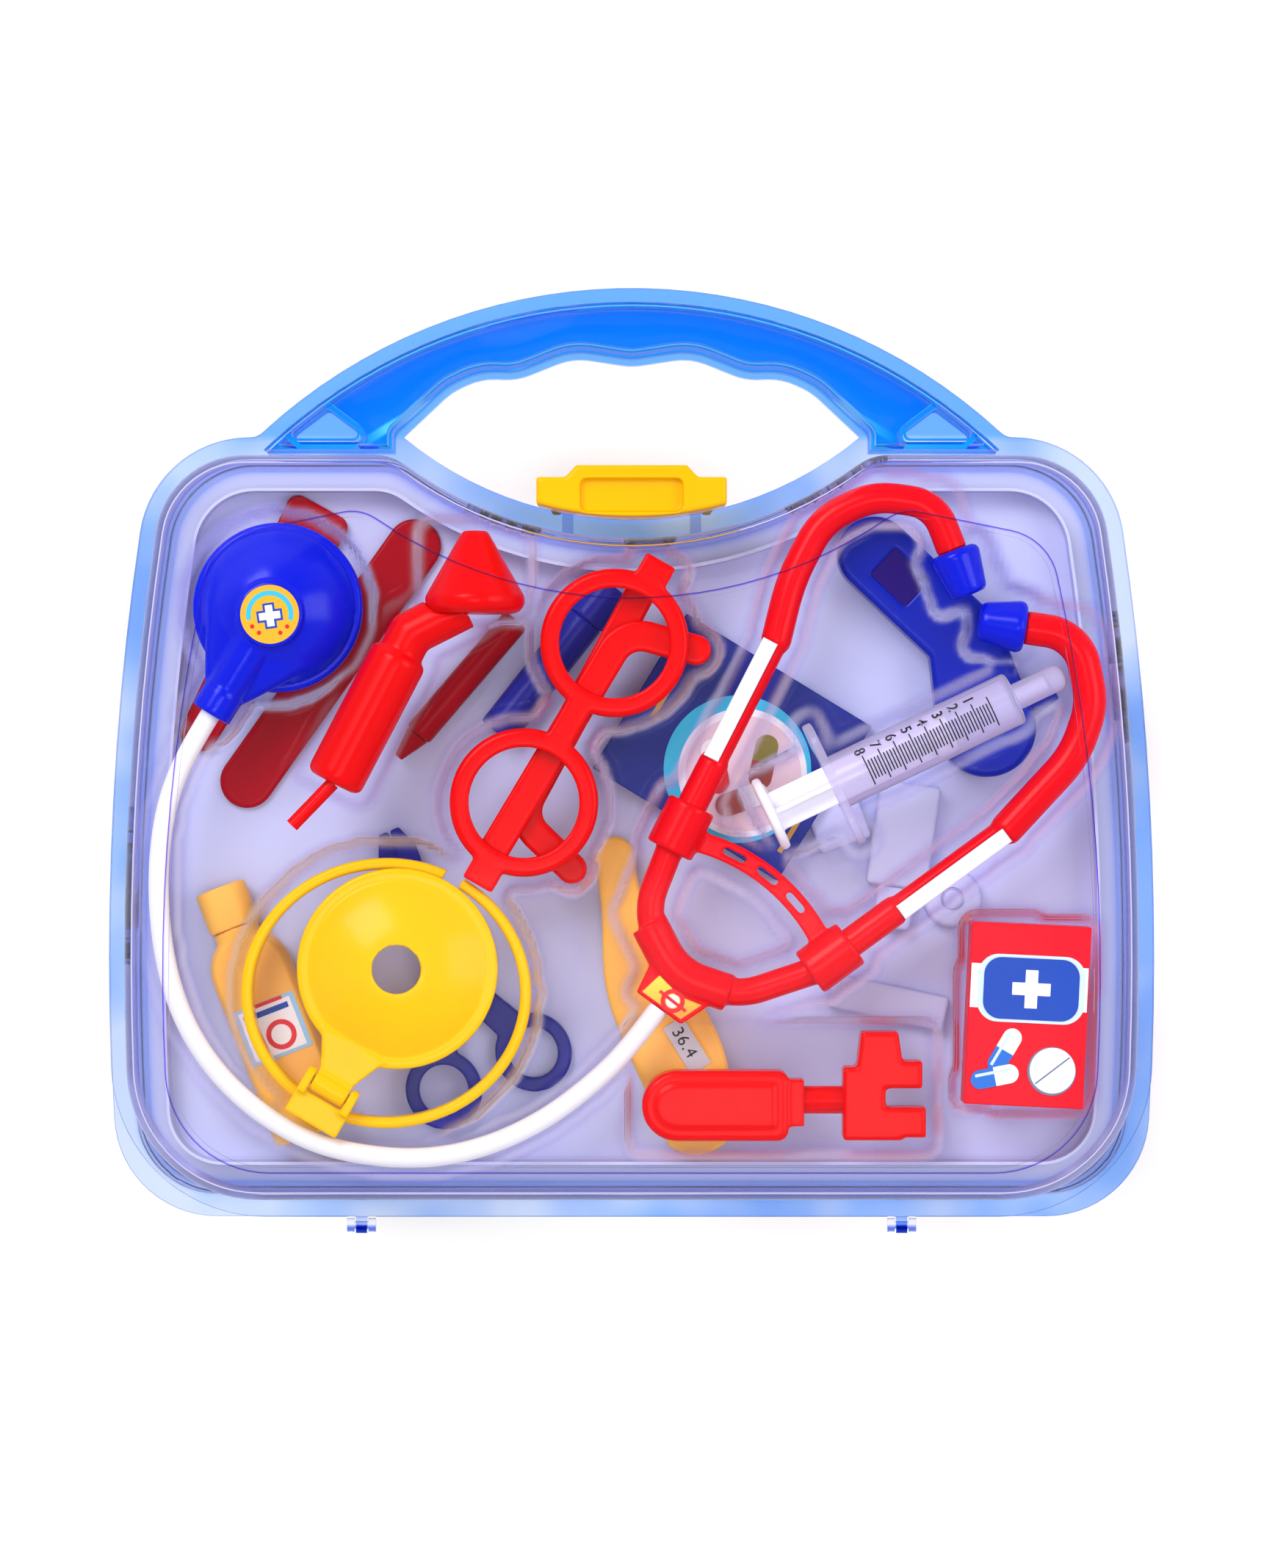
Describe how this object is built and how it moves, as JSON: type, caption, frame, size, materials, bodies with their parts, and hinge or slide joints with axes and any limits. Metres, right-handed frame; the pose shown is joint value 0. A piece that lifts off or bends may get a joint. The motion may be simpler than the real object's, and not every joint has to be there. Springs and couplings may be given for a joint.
{
  "type": "toy doctor case",
  "caption": "Clear hinged carry case with a moulded handle and flip latch, holding a child's toy doctor's kit in formed trays.",
  "frame": {"origin": "under the middle of the closed case, on the surface it lies on", "axes": "+X to the right and +Y towards the handle seen from the front, +Z out of the clear cover"},
  "size_m": [0.2842, 0.2572, 0.062],
  "materials": {
    "shell_blue": "translucent blue moulded plastic",
    "cover_clear": "clear moulded plastic, faintly violet",
    "latch_yellow": "yellow moulded plastic",
    "tray_clear": "clear vacuum-formed sheet",
    "tray_milky": "milky lavender sheet",
    "tube_white": "white soft vinyl tube",
    "steth_blue": "deep blue moulded plastic",
    "membrane_white": "thin white sheet",
    "sticker_orange": "printed sticker, orange",
    "steth_red": "red moulded plastic",
    "label_yellow": "printed sticker, yellow to orange",
    "insert_white": "white moulded plastic",
    "toy_red": "red moulded plastic",
    "mirror_yellow": "yellow moulded plastic",
    "barrel_clear": "frosted clear plastic with printed scale",
    "syringe_white": "white moulded plastic",
    "box_red": "printed card, red with a white band",
    "card_navy": "printed card, navy with a cyan ring",
    "bottle_orange": "orange moulded plastic",
    "bottle_label": "printed paper label",
    "display_grey": "printed grey panel with numbers",
    "back_red": "red moulded plastic",
    "back_navy": "navy moulded plastic",
    "lens_clear": "clear plastic"
  },
  "bodies": {
    "case": {"back_shell": "shell_blue", "stethoscope_tube": "tube_white", "front_tray": "tray_clear", "rear_tray": "tray_milky", "chestpiece_dome": "steth_blue", "chestpiece_ring": "steth_blue", "chestpiece_membrane": "membrane_white", "chestpiece_sticker": "sticker_orange", "yoke": "steth_red", "yoke_label": "label_yellow", "bridge_strap": "steth_red", "left_arm": "steth_red", "left_arm_insert": "insert_white", "right_arm": "steth_red", "right_arm_insert": "insert_white", "left_ear_tip": "steth_blue", "right_ear_tip": "steth_blue", "otoscope_head": "toy_red", "otoscope_handle": "toy_red", "otoscope_peg": "toy_red", "glasses_front": "toy_red", "glasses_hinge_pins": "toy_red", "glasses_temple_left": "toy_red", "glasses_temple_right": "toy_red", "mirror_clamp": "mirror_yellow", "mirror_pin": "mirror_yellow", "mirror_band": "mirror_yellow", "syringe_barrel": "barrel_clear", "syringe_cap": "barrel_clear", "hammer_handle": "toy_red", "hammer_shaft": "toy_red", "hammer_head": "toy_red", "medicine_box": "box_red", "card_box": "card_navy", "bottle_body": "bottle_orange", "bottle_cap": "bottle_orange", "bottle_label": "bottle_label", "thermometer_body": "bottle_orange", "thermometer_display": "display_grey", "scissors_lower_half": "back_navy", "scissors_rivet": "back_navy", "tongue_depressor": "back_red", "spatula": "back_red", "probe_handle": "back_red", "probe_tip": "back_red", "torch_body": "back_navy", "torch_head": "back_navy", "torch_lens": "lens_clear", "scope_body": "steth_blue", "scope_window": "lens_clear", "scope_probe": "steth_blue"},
    "cover": {"front_cover": "cover_clear"},
    "latch": {"latch": "latch_yellow"},
    "plunger": {"syringe_plunger": "syringe_white", "syringe_piston": "syringe_white"},
    "mirror": {"mirror_disc": "mirror_yellow"},
    "scissors_half": {"scissors_upper_half": "back_navy"}
  },
  "joints": [
    {"name": "cover_hinge", "type": "hinge", "parent": "case", "child": "cover", "pos_m": [0, -0.1264, 0.032], "axis": [1, 0, 0], "range_deg": [0, 180]},
    {"name": "latch_flip", "type": "hinge", "parent": "case", "child": "latch", "pos_m": [0, 0.07, 0.0215], "axis": [-1, 0, 0], "range_deg": [0, 95]},
    {"name": "plunger_slide", "type": "slide", "parent": "case", "child": "plunger", "axis": [0.9026, 0.4305, 0], "range_m": [0, 0.0155]},
    {"name": "mirror_tilt", "type": "hinge", "parent": "case", "child": "mirror", "pos_m": [-0.08209, -0.08933, 0.033], "axis": [0.8643, -0.503, 0], "range_deg": [0, 20]},
    {"name": "scissors_open", "type": "hinge", "parent": "case", "child": "scissors_half", "pos_m": [-0.05272, -0.05443, 0.006], "axis": [0, 0, -1], "range_deg": [0, 20]}
  ]
}
